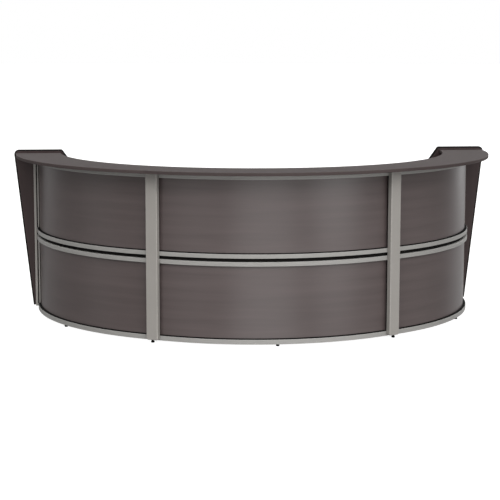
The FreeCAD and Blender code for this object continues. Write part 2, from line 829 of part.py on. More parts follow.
def gable_outline(sign, inset):
    """Corners of an end gable in its own plane, moved in from its rim by "inset"."""
    low = "(%s + %s)" % (cell("gable_z"), inset)
    high = "(%s - %s)" % (cell("gable_top_z"), inset)
    desk = "(%s - %s)" % (cell("gable_desk_z"), inset)
    rake_shift = "%s * sqrt(1 + %s^2)" % (inset, cell("gable_rake"))
    slope_shift = "%s * sqrt(1 + %s^2)" % (inset, cell("gable_slope"))

    def on_rake(height):
        return "%s + %s * (%s - %s) - %s" % (
            cell("gable_foot_outer"), cell("gable_rake"), height, cell("gable_z"), rake_shift)

    def on_slope(height):
        return "%s - %s * (%s - %s) + %s" % (
            cell("gable_slope_top"), cell("gable_slope"), cell("gable_top_z"), height,
            slope_shift)

    inner = "%s + %s" % (cell("gable_inner"), inset)
    corners = [(on_rake(low), low), (on_rake(high), high), (on_slope(high), high),
               (on_slope(desk), desk), (inner, desk), (inner, low)]
    return [("%g * (%s)" % (sign, x), z) for x, z in corners]


def round_corners(body, last, vertices, inset):
    """Round the corners of one outline; a corner that is moved in has a tighter radius."""
    for (x, z), radius in zip(vertices, CORNER_RADII):
        if radius is None:
            continue
        shift = inset if radius == CONCAVE_RADIUS else "-" + inset
        corner = (value(x), value(z))
        last = fillet(body, last, "%g + %s" % (radius, shift),
                      lambda edge: is_corner_edge(edge, corner))
    return last


def is_corner_edge(edge, corner):
    """The straight edge across the panel's thickness at one corner of its outline."""
    if not isinstance(edge.Curve, Part.Line) or edge.Length > LONGEST_CORNER:
        return False
    middle = edge.CenterOfMass
    return (abs(middle.x - corner[0]) < CORNER_TOUCH
            and abs(middle.z - corner[1]) < CORNER_TOUCH)


def make_gable(side):
    """The laminate panel, in the plane through the ring centre."""
    body = new_body("end_gable_" + side)
    sketch = new_sketch(body, "Outline", "XZ_Plane")
    vertices = gable_outline(SIDES[side], cell("trim_width"))
    polygon(sketch, vertices)
    base = pad(body, sketch, cell("gable_thick"), midplane=True)
    round_corners(body, base, vertices, cell("trim_width"))
    drill_gable(body, side)
    place_gable(body)


def make_gable_trim(side):
    """The dark edge trim that runs round the panel's whole rim."""
    body = new_body("gable_trim_" + side)
    sketch = new_sketch(body, "Outline", "XZ_Plane")
    outside = gable_outline(SIDES[side], "0")
    inside = gable_outline(SIDES[side], cell("trim_width"))
    polygon(sketch, outside)
    polygon(sketch, inside)
    last = pad(body, sketch, cell("gable_thick"), midplane=True)
    last = round_corners(body, last, outside, "0")
    last = round_corners(body, last, inside, cell("trim_width"))
    half = value(cell("gable_thick")) / 2
    fillet(body, last, cell("trim_edge"), lambda edge: is_outer_rim(edge, half, last))
    drill_gable(body, side)
    place_gable(body)


def is_outer_rim(edge, half, feature):
    """An edge in either face of the trim that belongs to its outer outline."""
    if any(abs(abs(vertex.Y) - half) > TOUCH for vertex in edge.Vertexes):
        return False
    for face in feature.Shape.Faces:
        if abs(abs(face.CenterOfMass.y) - half) > TOUCH:
            continue
        if any(edge.isSame(other) for other in face.OuterWire.Edges):
            return True
    return False


def place_gable(body):
    place(body, "0", "%s - %s + %s / 2" % (cell("ring_centre_y"), cell("gable_face"),
                                           cell("gable_thick")), 0.0)
    keep(body)


def drill_gable(body, side):
    """Holes for the studs of the feet, up through the bottom of the panel or its trim."""
    radius = "%s + %s" % (cell("stud_radius"), cell("stud_clearance"))
    sketch = new_sketch(body, "StudHoles", "XY_Plane")
    for distance in GABLE_FEET:
        circle(sketch, "%g" % (SIDES[side] * distance), "0", radius)
    pocket_depth(body, sketch, stud_hole_depth(), True)


def stud_hole_depth():
    """From the floor to the top of a stud's hole in a panel, with room for the stud above."""
    return "%s + %s + %s" % (cell("gable_z"), cell("stud_reach"), cell("stud_room"))


# ---------------------------------------------------------------- supports and brackets

def make_support(side):
    """The panel under the work surfaces at a joint, from the post inwards."""
    body = new_body("support_panel_" + side)
    back = bracket_back()
    half = "%s / 2" % cell("support_thick")
    plan = new_sketch(body, "Plan", "XY_Plane")
    rectangle(plan, cell("support_inner"), back, "-" + half, half)
    lift_sketch(plan, cell("gable_z"))
    base = pad(body, plan, "%s - %s - %s" % (cell("work_top_z"), cell("work_thick"),
                                             cell("gable_z")))
    inner = value(cell("support_inner"))
    fillet(body, base, cell("support_edge"), lambda edge: is_upright_at(edge, inner))
    hole = new_sketch(body, "StudHole", "XY_Plane")
    circle(hole, "%g" % SUPPORT_FOOT, "0",
           "%s + %s" % (cell("stud_radius"), cell("stud_clearance")))
    pocket_depth(body, hole, stud_hole_depth(), True)
    place_on_ring(body, JOINTS[side])
    keep(body)


def make_bracket(side):
    """A steel angle with a gusset, on the back of the post, that carries the counter."""
    body = new_body("counter_bracket_" + side)
    back = bracket_back()
    top = "%s - %s" % (cell("counter_top_z"), cell("counter_thick"))
    plate = cell("bracket_plate")
    tip = "%s - %s" % (back, cell("bracket_arm"))
    foot = "%s - %s" % (top, cell("bracket_leg"))
    angle = new_sketch(body, "Angle", "XZ_Plane")
    polygon(angle, [(tip, top), (tip, "%s - %s" % (top, plate)),
                    ("%s - %s" % (back, plate), "%s - %s" % (top, plate)),
                    ("%s - %s" % (back, plate), foot), (back, foot), (back, top)])
    pad(body, angle, cell("bracket_width"), midplane=True)
    gusset = new_sketch(body, "Gusset", "XZ_Plane")
    inset = cell("gusset_inset")
    polygon(gusset, [("%s + %s" % (tip, inset), "%s - %s / 2" % (top, plate)),
                     ("%s - %s / 2" % (back, plate), "%s + %s" % (foot, inset)),
                     ("%s - %s / 2" % (back, plate), "%s - %s / 2" % (top, plate))])
    pad(body, gusset, cell("gusset_thick"), midplane=True)
    holes = new_sketch(body, "ScrewHoles", "XY_Plane")
    for run, across in BRACKET_SCREWS:
        circle(holes, "%s + (%g)" % (back, run), "%g" % across,
               "%s + %s" % (cell("screw_shank"), cell("bracket_clearance")))
    lift_sketch(holes, top)
    pocket_depth(body, holes, "%s * 1.5" % plate, False)
    place_on_ring(body, JOINTS[side])
    keep(body)


# ---------------------------------------------------------------- levelling feet

def make_foot(label, gap, reach, angle, radius, forward="0"):
    """A plastic glide with a nut and a threaded stud, which screws down out of its socket.

    "gap" is the height of the underside that it carries; "reach" is the stud above that.
    """
    body = new_body(label)
    sketch = new_sketch(body, "Section", "XZ_Plane")
    wide = cell("foot_radius")
    stud = cell("stud_radius")
    neck = cell("foot_neck_radius")
    bevel = cell("foot_bevel")
    top = "%s - %s" % (gap, cell("moving_gap"))
    tip = "%s + %s" % (gap, reach)
    polygon(sketch, [("0", "0"), ("%s - %s" % (wide, bevel), "0"), (wide, bevel),
                     (wide, cell("foot_rim")), (neck, cell("foot_shoulder")), (neck, top),
                     (stud, top), (stud, "%s - %s" % (tip, bevel)),
                     ("%s - %s" % (stud, bevel), tip), ("0", tip)])
    revolve(body, sketch, "360")
    place(body, "%s * sin(%g)" % (radius, angle),
          "%s - %s * cos(%g) - %s" % (cell("ring_centre_y"), radius, angle, forward), 0.0)
    keep(body)


def make_feet():
    """One foot under each bay and each post, and the inner feet of supports and gables."""
    reach = cell("stud_reach")
    behind = "(%s + %s)" % (cell("foot_radius"), cell("foot_setback"))
    under_rail = "(%s + %s - %s)" % (cell("arc_offset"), cell("rail_radius"), behind)
    under_post = "(%s - %s)" % (cell("post_front"), behind)
    for bay, angle in BAYS.items():
        make_foot("rail_foot_" + bay, cell("bottom_rail_z"), cell("rail_stud_reach"), angle,
                  under_rail)
    for side, angle in JOINTS.items():
        make_foot("post_foot_" + side, cell("post_z"), reach, angle, under_post)
        make_foot("support_foot_" + side, cell("gable_z"), reach, angle, "%g" % SUPPORT_FOOT)
    forward = "(%s - %s / 2)" % (cell("gable_face"), cell("gable_thick"))
    for side, sign in SIDES.items():
        for name, distance in zip(("outer", "inner"), GABLE_FEET):
            make_foot("gable_foot_%s_%s" % (side, name), cell("gable_z"), reach, 90.0 * sign,
                      "%g" % distance, forward)


# ---------------------------------------------------------------- fasteners

def screw(length):
    """A domed screw at the origin, head up, its shank going down."""
    head, height = value(cell("screw_head")), value(cell("screw_head_height"))
    shank = Part.makeCylinder(value(cell("screw_shank")), length, FreeCAD.Vector(0, 0, -length))
    dome_radius = (head ** 2 + height ** 2) / (2 * height)
    ball = Part.makeSphere(dome_radius, FreeCAD.Vector(0, 0, height - dome_radius))
    cap = ball.common(Part.makeCylinder(head, height))
    width, depth = value(cell("screw_slot_width")), value(cell("screw_slot_depth"))
    slot = Part.makeBox(2 * head, width, height,
                        FreeCAD.Vector(-head, -width / 2, height - depth))
    return shank.fuse(cap).cut(slot).removeSplitter()


def copies(one, spots):
    """Copies of one screw; a spot is a point and the direction in which its head faces."""
    solids = []
    for point, direction in spots:
        copy = one.copy()
        turn = FreeCAD.Rotation(FreeCAD.Vector(0, 0, 1), direction)
        copy.Placement = FreeCAD.Placement(point, turn)
        solids.append(copy)
    return solids


def ring_point(angle, radius, across, height):
    """A point on the ring; "across" is its distance from the radius, anticlockwise."""
    turn = math.radians(angle)
    x = radius * math.sin(turn) + across * math.cos(turn)
    y = value(cell("ring_centre_y")) - radius * math.cos(turn) + across * math.sin(turn)
    return FreeCAD.Vector(x, y, height)


def end_post_spots():
    across = value(cell("gable_face")) + value(cell("end_post_width")) / 2
    front = value(cell("end_post_front"))
    return [(ring_point(90.0 * sign, front, -sign * across, height),
             FreeCAD.Vector(sign, 0, 0))
            for sign in SIDES.values() for height in SCREW_HEIGHTS]


def bracket_spots():
    back = value(bracket_back())
    height = value("%s - %s - %s" % (cell("counter_top_z"), cell("counter_thick"),
                                     cell("bracket_plate")))
    return [(ring_point(angle, back + run, across, height), FreeCAD.Vector(0, 0, -1))
            for angle in JOINTS.values() for run, across in BRACKET_SCREWS]


def make_screws():
    """Every screw of the station, as one node of separate solids."""
    feature = DOC.addObject("Part::Feature", "station_screws")
    feature.Label = "station_screws"
    feature.Shape = Part.makeCompound(
        copies(screw(value(cell("end_post_screw"))), end_post_spots())
        + copies(screw(value(cell("bracket_screw"))), bracket_spots()))
    keep(feature)


# ---------------------------------------------------------------- document

def check_and_write():
    """Stop on anything failed or empty, then write one STEP file per sub-part."""
    DOC.recompute()
    for item in DOC.Objects:
        if "Invalid" in item.State or "Error" in item.State:
            raise RuntimeError("%s failed: %s" % (item.Label, item.State))
    for item in NODES:
        if item.Shape.isNull() or not item.Shape.isValid():
            raise RuntimeError(item.Label + " has no valid shape")
    os.makedirs("parts", exist_ok=True)
    for item in NODES:
        item.Shape.exportStep("parts/%s.step" % item.Label)
    print("sub-parts written:", len(NODES))


def main():
    fill_sheet()
    for bay in BAYS:
        make_counter(bay)
        make_work_surface(bay)
        make_bay_front(bay)
        make_grommet_liner(bay)
        make_grommet_cap(bay)
    for side in JOINTS:
        make_column(side)
        make_cover(side)
        make_support(side)
        make_bracket(side)
        make_end_post(side)
        make_gable(side)
        make_gable_trim(side)
    make_feet()
    make_seals()
    make_screws()
    check_and_write()


main()
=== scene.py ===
import math

import bpy
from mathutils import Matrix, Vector


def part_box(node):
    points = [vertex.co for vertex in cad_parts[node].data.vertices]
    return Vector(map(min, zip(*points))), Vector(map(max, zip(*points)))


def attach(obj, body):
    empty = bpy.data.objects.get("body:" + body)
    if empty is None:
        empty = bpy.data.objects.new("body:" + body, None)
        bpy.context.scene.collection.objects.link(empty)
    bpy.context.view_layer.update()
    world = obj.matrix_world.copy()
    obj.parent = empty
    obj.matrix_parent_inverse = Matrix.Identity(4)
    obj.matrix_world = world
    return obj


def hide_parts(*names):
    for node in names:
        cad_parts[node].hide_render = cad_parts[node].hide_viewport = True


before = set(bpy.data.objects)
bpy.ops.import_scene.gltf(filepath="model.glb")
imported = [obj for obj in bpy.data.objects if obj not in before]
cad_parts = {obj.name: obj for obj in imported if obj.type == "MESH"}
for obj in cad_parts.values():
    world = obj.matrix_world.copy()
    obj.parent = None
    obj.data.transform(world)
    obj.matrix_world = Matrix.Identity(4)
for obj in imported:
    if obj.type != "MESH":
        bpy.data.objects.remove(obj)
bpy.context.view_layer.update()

# Curved three-bay checkout and reception station.  Metres, +Z up, floor at z = 0.
# Customers stand on the -Y side.  Heights and places come from the frame's own boxes; in plan
# the station is half a ring about RING, and each bay's front is an arc about its own centre.

MM = 0.001


def low(node):
    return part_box(node)[0]


def high(node):
    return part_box(node)[1]


# ---------------------------------------------------------------- plan

BAY_TURN = {"left": -60.0, "centre": 0.0, "right": 60.0}
JOINT_TURN = {"left": -30.0, "right": 30.0}
SIDE = {"left": -1.0, "right": 1.0}

HALF_BAY = math.radians(30.0)
ARC_OFFSET = 133 * MM
RAIL_FRONT = 1516 * MM
RAIL_DEPTH = 38 * MM
SKIN_SETBACK = 21 * MM
SKIN_THICK = 6 * MM
GABLE_FACE = 62 * MM
GABLE_THICK = 28 * MM
POST_WIDTH = 85.6 * MM
COLUMN_WIDTH = 52 * MM
POST_FRONT = 1668 * MM
COVER_DEPTH = 34 * MM
END_POST_WIDTH = 43 * MM
COUNTER_OUTER = 1662 * MM
COUNTER_INNER = 1449 * MM
WORK_OUTER = 1476 * MM
WORK_INNER = 1025 * MM

RING = Vector((0.0, high("end_gable_left").y + GABLE_FACE - GABLE_THICK, 0.0))


def outward(turn):
    """Unit vector in plan at an angle from -Y, positive towards +X; the angle is in radians."""
    return Vector((math.sin(turn), -math.cos(turn), 0.0))


def sideways(turn):
    """Unit vector in plan at right angles to outward(turn), towards growing angles."""
    return Vector((math.cos(turn), math.sin(turn), 0.0))


def bay_centre(bay):
    return RING + ARC_OFFSET * outward(math.radians(BAY_TURN[bay]))


def arc_limits(bay):
    """Angles about the bay's centre, from the bay's middle, where its rails and skins end."""
    aside = ARC_OFFSET * math.sin(HALF_BAY)
    at_post = HALF_BAY + math.asin((aside - COLUMN_WIDTH / 2) / RAIL_FRONT)
    at_end = HALF_BAY - math.asin((GABLE_FACE + END_POST_WIDTH - aside)
                                  / (RAIL_FRONT - RAIL_DEPTH))
    first = at_end if bay == "left" else at_post
    last = at_end if bay == "right" else at_post
    return -first, last


# ---------------------------------------------------------------- meshes

SHARP = math.radians(34.0)
UV_LAYER = "grain"
# A plain strip beside each rounded corner keeps the shading of the flat faces flat.
CORNER_MARGIN = 2 * MM


def rounded(points, radii, steps=5):
    """A closed outline in two dimensions with its corners turned into arcs.

    Each returned point is (x, y, edge), where edge is 1 on a corner's arc and 0 elsewhere.
    """
    outline = []
    count = len(points)
    for index, radius in enumerate(radii):
        here = Vector(points[index])
        if radius <= 0:
            outline.append((here.x, here.y, 0.0))
            continue
        back = (Vector(points[index - 1]) - here).normalized()
        ahead = (Vector(points[(index + 1) % count]) - here).normalized()
        half = math.acos(max(-1.0, min(1.0, back.dot(ahead)))) / 2
        reach = radius / math.tan(half)
        middle = here + (back + ahead).normalized() * (radius / math.sin(half))
        start = here + back * reach - middle
        end = here + ahead * reach - middle
        sweep = math.atan2(start.x * end.y - start.y * end.x, start.dot(end))
        margin = min(CORNER_MARGIN, radius)
        before = here + back * (reach + margin)
        after = here + ahead * (reach + margin)
        outline.append((before.x, before.y, 0.0))
        for step in range(steps + 1):
            turn = sweep * step / steps
            x = start.x * math.cos(turn) - start.y * math.sin(turn)
            y = start.x * math.sin(turn) + start.y * math.cos(turn)
            outline.append((middle.x + x, middle.y + y, 1.0))
        outline.append((after.x, after.y, 0.0))
    return outline


def plan_axes(ring):
    """Two directions that spread a flat end face out for its grain coordinates."""
    start = Vector(ring[0][:3])
    farthest = max(ring, key=lambda p: (Vector(p[:3]) - start).length)
    flat = Vector((farthest[0] - start.x, farthest[1] - start.y, 0.0))
    first = flat.normalized() if flat.length > MM else Vector((1, 0, 0))
    tall = max(p[2] for p in ring) - min(p[2] for p in ring)
    second = Vector((0, 0, 1)) if tall > MM else Vector((-first.y, first.x, 0))
    return start, first, second


def loft(name, rings, ends="caps"):
    """A closed skin over rings of (x, y, z, edge) points, with metric grain coordinates.

    ends is "caps" for a flat face at each end, or "loop" to join the last ring to the first.
    """
    size = len(rings[0])
    count = len(rings)
    vertices = [point[:3] for ring in rings for point in ring]
    along = [0.0]
    for index in range(1, count + 1):
        step = Vector(rings[index % count][0][:3]) - Vector(rings[index - 1][0][:3])
        along.append(along[-1] + step.length)
    around = [0.0]
    for index in range(1, size + 1):
        step = Vector(rings[0][index % size][:3]) - Vector(rings[0][index - 1][:3])
        around.append(around[-1] + step.length)

    faces = []
    coordinates = []
    for i in range(count if ends == "loop" else count - 1):
        after = (i + 1) % count
        for j in range(size):
            k = (j + 1) % size
            faces.append((i * size + j, i * size + k, after * size + k, after * size + j))
            coordinates += [(along[i], around[j]), (along[i], around[j + 1]),
                            (along[i + 1], around[j + 1]), (along[i + 1], around[j])]
    if ends == "caps":
        for ring, order in ((0, range(size - 1, -1, -1)), (count - 1, range(size))):
            start, first, second = plan_axes(rings[ring])
            faces.append(tuple(ring * size + j for j in order))
            for j in order:
                offset = Vector(rings[ring][j][:3]) - start
                coordinates.append((offset.dot(first), offset.dot(second)))

    mesh = bpy.data.meshes.new(name)
    mesh.from_pydata(vertices, [], faces)
    layer = mesh.uv_layers.new(name=UV_LAYER)
    for loop, place in enumerate(coordinates):
        layer.data[loop].uv = place
    # The edge attribute marks where the materials lighten the edges, partly as wear and partly
    # as a painted highlight.
    wear_and_highlight = mesh.attributes.new("edge", "FLOAT", "POINT")
    for index, point in enumerate(p for ring in rings for p in ring):
        wear_and_highlight.data[index].value = point[3]
    return add_object(name, mesh)


def add_object(name, mesh):
    outward_faces(mesh)
    mesh.polygons.foreach_set("use_smooth", [True] * len(mesh.polygons))
    mesh.set_sharp_from_angle(angle=SHARP)
    obj = bpy.data.objects.new(name, mesh)
    bpy.context.scene.collection.objects.link(obj)
    return obj


def outward_faces(mesh):
    """Turn every face to point out of the solid."""
    volume = 0.0
    for face in mesh.polygons:
        volume += face.center.dot(face.normal) * face.area
    if volume < 0:
        mesh.flip_normals()


def dress(obj, material, slot, *nodes):
    """Finish a piece: its material, the CAD nodes that it stands for, its body. The slot
    argument is not used.
    """
    obj.data.materials.append(material)
    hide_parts(*nodes)
    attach(obj, "station")
    return obj


def sweep_about(name, bay, profile, steps=72):
    """Carry a profile of (radius, z, edge) round a bay's arc."""
    centre = bay_centre(bay)
    first, last = arc_limits(bay)
    middle = math.radians(BAY_TURN[bay])
    rings = []
    for step in range(steps + 1):
        direction = outward(middle + first + (last - first) * step / steps)
        rings.append([(centre.x + direction.x * r, centre.y + direction.y * r, z, edge)
                      for r, z, edge in profile])
    return loft(name, rings)


# ---------------------------------------------------------------- materials

# Each pattern's features per metre, along the grain and across it.
GRAIN_WANDER = (1.2, 2.0)
GRAIN_BANDS = (0.7, 16.0)
GRAIN_STREAKS = (2.5, 240.0)
GRAIN_PORES = (22.0, 1100.0)
GRAIN_CLOUDS = (0.9, 2.4)
DRAWN_LINES = (5.0, 1600.0)
SCUFFS = (12.0, 90.0)
# How far the grain wanders sideways, in metres.
GRAIN_DRIFT = 0.02


def new_material(name):
    material = bpy.data.materials.new(name)
    material.use_nodes = True
    tree = material.node_tree
    shader = tree.nodes["Principled BSDF"]
    return material, tree, shader


def make_node(tree, kind, settings=None, **inputs):
    """Add one node; inputs are values or sockets, by input name with _ for a space."""
    item = tree.nodes.new("ShaderNode" + kind)
    for key, setting in (settings or {}).items():
        setattr(item, key, setting)
    for key, given in inputs.items():
        plug(tree, item.inputs[key.replace("_", " ")], given)
    return item


def plug(tree, socket, given):
    if isinstance(given, bpy.types.NodeSocket):
        tree.links.new(given, socket)
    else:
        socket.default_value = given


def maths(tree, operation, first, second=0.0, clamp=False):
    item = tree.nodes.new("ShaderNodeMath")
    item.operation = operation
    item.use_clamp = clamp
    plug(tree, item.inputs[0], first)
    plug(tree, item.inputs[1], second)
    return item.outputs[0]


def spread(tree, value, from_low, from_high, to_low, to_high):
    """Map a range of numbers onto another one, without overshoot."""
    item = make_node(tree, "MapRange", {"clamp": True}, Value=value, From_Min=from_low,
                     From_Max=from_high, To_Min=to_low, To_Max=to_high)
    return item.outputs["Result"]


def mix_colour(tree, factor, first, second, blend="MIX"):
    item = tree.nodes.new("ShaderNodeMix")
    item.data_type = "RGBA"
    item.blend_type = blend
    item.clamp_factor = True
    plug(tree, item.inputs[0], factor)
    plug(tree, item.inputs[6], first if isinstance(first, bpy.types.NodeSocket) else (*first, 1))
    plug(tree, item.inputs[7],
         second if isinstance(second, bpy.types.NodeSocket) else (*second, 1))
    return item.outputs[2]


def grain_coordinates(tree, source):
    """Where a pattern is laid out: along the piece's own grain, or in the object's space."""
    if source == "grain":
        return make_node(tree, "UVMap", {"uv_map": UV_LAYER}).outputs["UV"]
    return make_node(tree, "TexCoord").outputs["Object"]


def noise(tree, coordinates, stretch, detail=4.0, rough=0.55, shift=(0.0, 0.0, 0.0)):
    """Noise with its own number of features per metre along each direction."""
    mapping = make_node(tree, "Mapping", Vector=coordinates, Scale=stretch, Location=shift)
    texture = make_node(tree, "TexNoise", Vector=mapping.outputs[0], Scale=1.0, Detail=detail,
                        Roughness=rough)
    return texture.outputs["Fac"]


def worn_and_highlit_edge(tree):
    """The piece's own mask of its edges and corners, broken up: where the edges are lightened,
    partly as wear and partly as a painted highlight.
    """
    mask = make_node(tree, "Attribute", {"attribute_name": "edge"}).outputs["Fac"]
    place = make_node(tree, "TexCoord").outputs["Object"]
    broken = noise(tree, place, (60.0, 60.0, 60.0), detail=6.0)
    return maths(tree, "MULTIPLY", mask, spread(tree, broken, 0.4, 0.62, 0.25, 1.0))


def scaled(colour, factor):
    return tuple(channel * factor for channel in colour)


def stretched(features, along):
    """Scale of a pattern that runs along one axis: features per metre along and across it."""
    length, across = features
    scale = [across] * 3
    scale[along] = length
    return tuple(scale)


def laminate(name, colour, roughness, gloss, source="grain", along=0):
    """Dark wood-print laminate: long fine streaks, softer bands, pores and a satin face."""
    material, tree, shader = new_material(name)
    place = grain_coordinates(tree, source)

    wander = noise(tree, place, stretched(GRAIN_WANDER, along), detail=2.0)
    bent = make_node(tree, "VectorMath", {"operation": "MULTIPLY_ADD"})
    plug(tree, bent.inputs[0], wander)
    bent.inputs[1].default_value = stretched((0.0, GRAIN_DRIFT), along)
    plug(tree, bent.inputs[2], place)
    laid = bent.outputs[0]

    bands = noise(tree, laid, stretched(GRAIN_BANDS, along), detail=3.0, rough=0.6)
    streaks = noise(tree, laid, stretched(GRAIN_STREAKS, along), detail=5.0, rough=0.65)
    pores = noise(tree, laid, stretched(GRAIN_PORES, along), detail=2.0, shift=(3.0, 7.0, 1.0))
    clouds = noise(tree, place, stretched(GRAIN_CLOUDS, along), detail=2.0,
                   shift=(9.0, 2.0, 4.0))

    tone = mix_colour(tree, spread(tree, bands, 0.34, 0.66, 0.0, 1.0),
                      scaled(colour, 0.86), scaled(colour, 1.14))
    # Each layer: where its pattern starts and ends, how strong it is, how bright it turns.
    for pattern, start, end, strength, brightness in ((streaks, 0.36, 0.64, 0.14, 1.22),
                                                      (clouds, 0.3, 0.7, 0.35, 0.84),
                                                      (pores, 0.66, 0.74, 0.08, 0.55)):
        tone = mix_colour(tree, spread(tree, pattern, start, end, 0.0, strength), tone,
                          scaled(colour, brightness))
    # Edges lighter: partly wear, partly a painted highlight.
    tone = mix_colour(tree, maths(tree, "MULTIPLY", worn_and_highlit_edge(tree), 0.35), tone,
                      scaled(colour, 1.9))
    plug(tree, shader.inputs["Base Color"], tone)

    rough = spread(tree, bands, 0.3, 0.7, roughness - 0.02, roughness + 0.03)
    plug(tree, shader.inputs["Roughness"], rough)
    shader.inputs["Specular IOR Level"].default_value = gloss
    relief = maths(tree, "SUBTRACT", streaks, maths(tree, "MULTIPLY", pores, 0.7))
    bump = make_node(tree, "Bump", Strength=0.15, Distance=0.03 * MM, Height=relief)
    plug(tree, shader.inputs["Normal"], bump.outputs[0])
    return material


def anodised(name, colour, roughness, metallic, source="grain", along=0):
    """Satin anodised aluminium: drawn lines along the extrusion, faint mottle, and edges
    lightened partly as wear and partly as a painted highlight.
    """
    material, tree, shader = new_material(name)
    place = grain_coordinates(tree, source)
    lines = noise(tree, place, stretched(DRAWN_LINES, along), detail=3.0)
    mottle = noise(tree, place, (7.0, 7.0, 7.0), detail=5.0)
    scuffs = noise(tree, place, stretched(SCUFFS, along), detail=6.0, rough=0.7,
                   shift=(5.0, 1.0, 2.0))

    tone = mix_colour(tree, spread(tree, lines, 0.35, 0.65, 0.0, 1.0),
                      scaled(colour, 0.95), scaled(colour, 1.05))
    tone = mix_colour(tree, spread(tree, mottle, 0.35, 0.65, 0.0, 0.5), tone,
                      scaled(colour, 0.93))
    # Edges lighter: partly wear, partly a painted highlight.
    tone = mix_colour(tree, maths(tree, "MULTIPLY", worn_and_highlit_edge(tree), 0.5), tone,
                      scaled(colour, 1.35))
    plug(tree, shader.inputs["Base Color"], tone)
    base = spread(tree, lines, 0.3, 0.7, roughness - 0.05, roughness + 0.05)
    worn = spread(tree, scuffs, 0.6, 0.72, 0.0, 0.12)
    plug(tree, shader.inputs["Roughness"], maths(tree, "ADD", base, worn, clamp=True))
    shader.inputs["Metallic"].default_value = metallic
    bump = make_node(tree, "Bump", Strength=0.3, Distance=0.02 * MM, Height=lines)
    plug(tree, shader.inputs["Normal"], bump.outputs[0])
    return material


def moulded(name, colour, roughness, texture=900.0, source="object", gloss=0.4):
    """Dark plastic or powder coat with a fine moulded texture and slightly paler edges, partly
    wear and partly a painted highlight.
    """
    material, tree, shader = new_material(name)
    place = grain_coordinates(tree, source)
    fine = noise(tree, place, (texture,) * 3, detail=2.0)
    broad = noise(tree, place, (25.0, 25.0, 25.0), detail=4.0)
    tone = mix_colour(tree, spread(tree, broad, 0.35, 0.65, 0.0, 1.0),
                      scaled(colour, 0.85), scaled(colour, 1.2))
    # Edges paler: partly wear, partly a painted highlight.
    tone = mix_colour(tree, maths(tree, "MULTIPLY", worn_and_highlit_edge(tree), 0.4), tone,
                      scaled(colour, 2.6))
    plug(tree, shader.inputs["Base Color"], tone)
    rough = spread(tree, broad, 0.3, 0.7, roughness - 0.06, roughness + 0.06)
    plug(tree, shader.inputs["Roughness"], rough)
    shader.inputs["Specular IOR Level"].default_value = gloss
    bump = make_node(tree, "Bump", Strength=0.4, Distance=0.05 * MM, Height=fine)
    plug(tree, shader.inputs["Normal"], bump.outputs[0])
    return material


ESPRESSO = (0.0624, 0.0488, 0.0474)
PANEL_BROWN = (0.0325, 0.0220, 0.0216)
SILVER = (0.234, 0.228, 0.216)
POST_SILVER = (0.209, 0.197, 0.182)

COUNTER_LOOK = laminate("counter_board_laminate", scaled(ESPRESSO, 0.72), 0.6, 0.05)
WORK_LOOK = laminate("work_board_laminate", scaled(ESPRESSO, 0.8), 0.5, 0.2)
SKIN_LOOK = laminate("skin_laminate", ESPRESSO, 0.30, 0.4)
PANEL_LOOK = laminate("panel_laminate", PANEL_BROWN, 0.5, 0.14, along=1)
RAIL_LOOK = anodised("rail_silver", scaled(SILVER, 0.96), 0.5, 0.12)
POST_LOOK = anodised("post_silver", POST_SILVER, 0.55, 0.05, source="object", along=2)
TRIM_LOOK = moulded("edge_trim", (0.0075, 0.0066, 0.0064), 0.75, gloss=0.06)
# Black standing for shade: painted shade behind the rails' slot and in the end posts' grooves.
SHADE_BLACK_LOOK = moulded("painted_shade_black", (0.006, 0.0055, 0.0052), 0.85, gloss=0.04)
# Black seals along the skins' edges: painted shade and dark reflection where the skins meet the
# rails and posts.
SEAL_SHADE_LOOK = moulded("seal_painted_shade", (0.006, 0.0057, 0.0055), 0.85, texture=700.0, gloss=0.04)
COLUMN_LOOK = moulded("column_coat", (0.008, 0.0078, 0.0078), 0.8, texture=1200.0, gloss=0.05)
FOOT_LOOK = moulded("foot_black", (0.003, 0.003, 0.003), 0.85, gloss=0.03)
GROMMET_LOOK = moulded("grommet_black", (0.010, 0.010, 0.011), 0.6, gloss=0.2)
BRACKET_LOOK = moulded("bracket_coat", (0.012, 0.012, 0.0125), 0.6, texture=1400.0, gloss=0.15)
SCREW_LOOK = moulded("screw_black", (0.006, 0.006, 0.0063), 0.6, gloss=0.1)

CAD_LOOKS = {
    "post_column": COLUMN_LOOK,
    "station_screws": SCREW_LOOK,
    "skin_seals": SEAL_SHADE_LOOK,
    "counter_bracket": BRACKET_LOOK,
    # The strip behind the rails' slot is painted black as shade.
    "reveal_strip": SHADE_BLACK_LOOK,
    "grommet": GROMMET_LOOK,
    "rail_foot": FOOT_LOOK,
    "post_foot": FOOT_LOOK,
    "support_foot": FOOT_LOOK,
    "gable_foot": FOOT_LOOK,
}


def dress_cad_nodes():
    """Give each CAD node that stays visible its finish."""
    for node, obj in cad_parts.items():
        look = next((CAD_LOOKS[start] for start in CAD_LOOKS if node.startswith(start)), None)
        if look is None:
            continue
        obj.data.materials.clear()
        obj.data.materials.append(look)


# ---------------------------------------------------------------- rails and skins

RAIL_EDGE = 2.5 * MM
LIP = 3 * MM
CHANNEL = 8 * MM
BEAD_WIDTH = 1.6 * MM
BEAD_DEPTH = 0.6 * MM
BEAD_SHARES = (0.3, 0.7)
LIP_EDGE_SHARE = 0.9
FINE_EDGE = 0.6 * MM
SKIN_EDGE = 0.8 * MM


